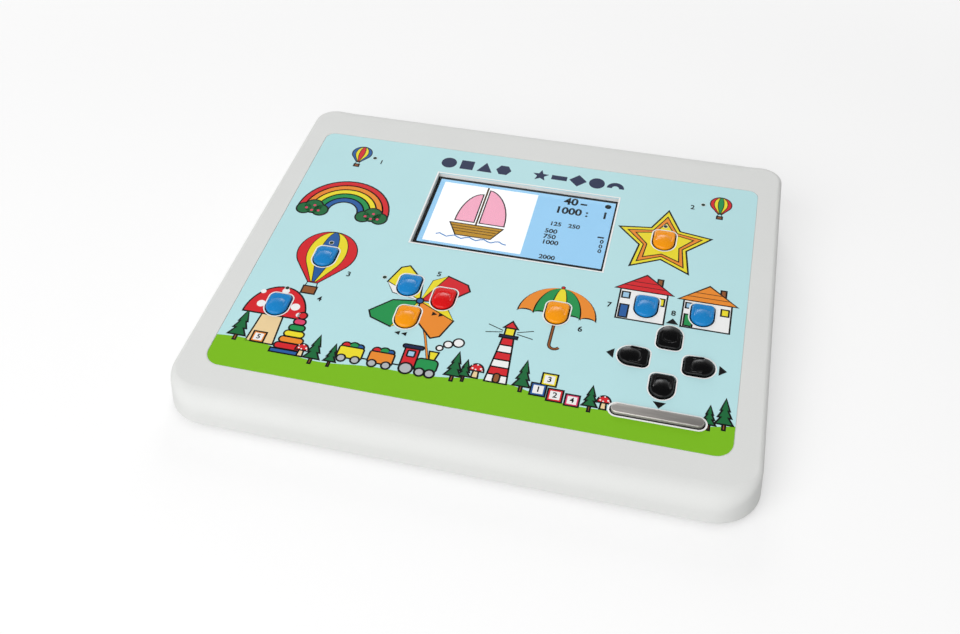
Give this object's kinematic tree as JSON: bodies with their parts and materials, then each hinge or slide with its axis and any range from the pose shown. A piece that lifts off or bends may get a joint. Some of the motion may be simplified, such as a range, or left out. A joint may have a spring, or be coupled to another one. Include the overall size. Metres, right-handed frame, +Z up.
{
  "type": "audiometer",
  "caption": "Desktop audiometer: low sloping console with a recessed colour display, a printed foil, domed D-shaped keys, a long tone bar and rear sockets.",
  "frame": {"origin": "middle of the footprint, on the table under the rubber feet", "axes": "+Z up, +Y to the back where the sockets are, +X to the user's right"},
  "size_m": [0.274, 0.234, 0.0367],
  "materials": {
    "case_white": "fine spark-eroded texture, off white",
    "foot_rubber": "matt black rubber",
    "screw_steel": "zinc plated steel",
    "insert_brass": "knurled brass",
    "foil_print": null,
    "window_clear": "clear acrylic with a black printed border",
    "foam": "closed-cell foam",
    "frame_steel": "pressed tin-plated steel",
    "display_face": null,
    "backlight_white": "white light guide",
    "cable_amber": "polyimide flat cable",
    "indicator_dark": "dark unlit indicator lens",
    "switch_black": "black nylon",
    "board_green": "green solder mask",
    "ribbon_grey": "grey ribbon cable",
    "chip_black": "moulded epoxy",
    "capacitor_can": "sleeved aluminium can",
    "relay_white": "white moulded relay case",
    "connector_ivory": "ivory nylon",
    "socket_blue": "blue moulded plastic",
    "socket_red": "red moulded plastic",
    "socket_black": "black moulded plastic",
    "socket_steel": "nickel plated shell",
    "key_blue": "glossy blue key",
    "key_red": "glossy red key",
    "key_orange": "glossy orange key",
    "key_black": "glossy black key",
    "bar_grey": "satin grey bar"
  },
  "bodies": {
    "console": {"top_cover": "case_white", "bottom_cover": "case_white", "rubber_feet": "foot_rubber", "case_screws": "screw_steel", "threaded_inserts": "insert_brass", "front_foil": "foil_print", "screen_window": "window_clear", "display_gasket": "foam", "display_frame": "frame_steel", "display_glass": "display_face", "display_backlight": "backlight_white", "display_pad": "foam", "display_cable": "cable_amber", "indicators": "indicator_dark", "key_switches": "switch_black", "key_board": "board_green", "key_board_cable": "ribbon_grey", "board_screws": "screw_steel", "main_board": "board_green", "board_chips": "chip_black", "board_capacitors": "capacitor_can", "board_relays": "relay_white", "cable_connectors": "connector_ivory", "left_phone_socket": "socket_blue", "right_phone_socket": "socket_red", "response_socket": "socket_black", "data_socket": "socket_steel", "power_socket": "socket_black"},
    "group_button": {"group_key": "key_blue", "group_plunger": "switch_black"},
    "start_button": {"start_key": "key_blue", "start_plunger": "switch_black"},
    "pause_button": {"pause_key": "key_blue", "pause_plunger": "switch_black"},
    "forward_button": {"forward_key": "key_red", "forward_plunger": "switch_black"},
    "back_button": {"back_key": "key_orange", "back_plunger": "switch_black"},
    "side_button": {"side_key": "key_orange", "side_plunger": "switch_black"},
    "mode_button": {"mode_key": "key_orange", "mode_plunger": "switch_black"},
    "menu_button": {"menu_key": "key_blue", "menu_plunger": "switch_black"},
    "enter_button": {"enter_key": "key_blue", "enter_plunger": "switch_black"},
    "up_button": {"up_key": "key_black", "up_plunger": "switch_black"},
    "down_button": {"down_key": "key_black", "down_plunger": "switch_black"},
    "left_button": {"left_key": "key_black", "left_plunger": "switch_black"},
    "right_button": {"right_key": "key_black", "right_plunger": "switch_black"},
    "tone_button": {"tone_bar": "bar_grey", "tone_plungers": "switch_black"}
  },
  "joints": [
    {"name": "group_press", "type": "slide", "parent": "console", "child": "group_button", "axis": [0, 0.0872, -0.9962], "range_m": [0, 0.0012], "stiffness_N_per_m": 900, "springref_m": -0.0005},
    {"name": "start_press", "type": "slide", "parent": "console", "child": "start_button", "axis": [0, 0.0872, -0.9962], "range_m": [0, 0.0012], "stiffness_N_per_m": 900, "springref_m": -0.0005},
    {"name": "pause_press", "type": "slide", "parent": "console", "child": "pause_button", "axis": [0, 0.0872, -0.9962], "range_m": [0, 0.0012], "stiffness_N_per_m": 900, "springref_m": -0.0005},
    {"name": "forward_press", "type": "slide", "parent": "console", "child": "forward_button", "axis": [0, 0.0872, -0.9962], "range_m": [0, 0.0012], "stiffness_N_per_m": 900, "springref_m": -0.0005},
    {"name": "back_press", "type": "slide", "parent": "console", "child": "back_button", "axis": [0, 0.0872, -0.9962], "range_m": [0, 0.0012], "stiffness_N_per_m": 900, "springref_m": -0.0005},
    {"name": "side_press", "type": "slide", "parent": "console", "child": "side_button", "axis": [0, 0.0872, -0.9962], "range_m": [0, 0.0012], "stiffness_N_per_m": 900, "springref_m": -0.0005},
    {"name": "mode_press", "type": "slide", "parent": "console", "child": "mode_button", "axis": [0, 0.0872, -0.9962], "range_m": [0, 0.0012], "stiffness_N_per_m": 900, "springref_m": -0.0005},
    {"name": "menu_press", "type": "slide", "parent": "console", "child": "menu_button", "axis": [0, 0.0872, -0.9962], "range_m": [0, 0.0012], "stiffness_N_per_m": 900, "springref_m": -0.0005},
    {"name": "enter_press", "type": "slide", "parent": "console", "child": "enter_button", "axis": [0, 0.0872, -0.9962], "range_m": [0, 0.0012], "stiffness_N_per_m": 900, "springref_m": -0.0005},
    {"name": "up_press", "type": "slide", "parent": "console", "child": "up_button", "axis": [0, 0.0872, -0.9962], "range_m": [0, 0.0012], "stiffness_N_per_m": 900, "springref_m": -0.0005},
    {"name": "down_press", "type": "slide", "parent": "console", "child": "down_button", "axis": [0, 0.0872, -0.9962], "range_m": [0, 0.0012], "stiffness_N_per_m": 900, "springref_m": -0.0005},
    {"name": "left_press", "type": "slide", "parent": "console", "child": "left_button", "axis": [0, 0.0872, -0.9962], "range_m": [0, 0.0012], "stiffness_N_per_m": 900, "springref_m": -0.0005},
    {"name": "right_press", "type": "slide", "parent": "console", "child": "right_button", "axis": [0, 0.0872, -0.9962], "range_m": [0, 0.0012], "stiffness_N_per_m": 900, "springref_m": -0.0005},
    {"name": "tone_press", "type": "slide", "parent": "console", "child": "tone_button", "axis": [0, 0.0872, -0.9962], "range_m": [0, 0.0012], "stiffness_N_per_m": 1200, "springref_m": -0.0005}
  ]
}
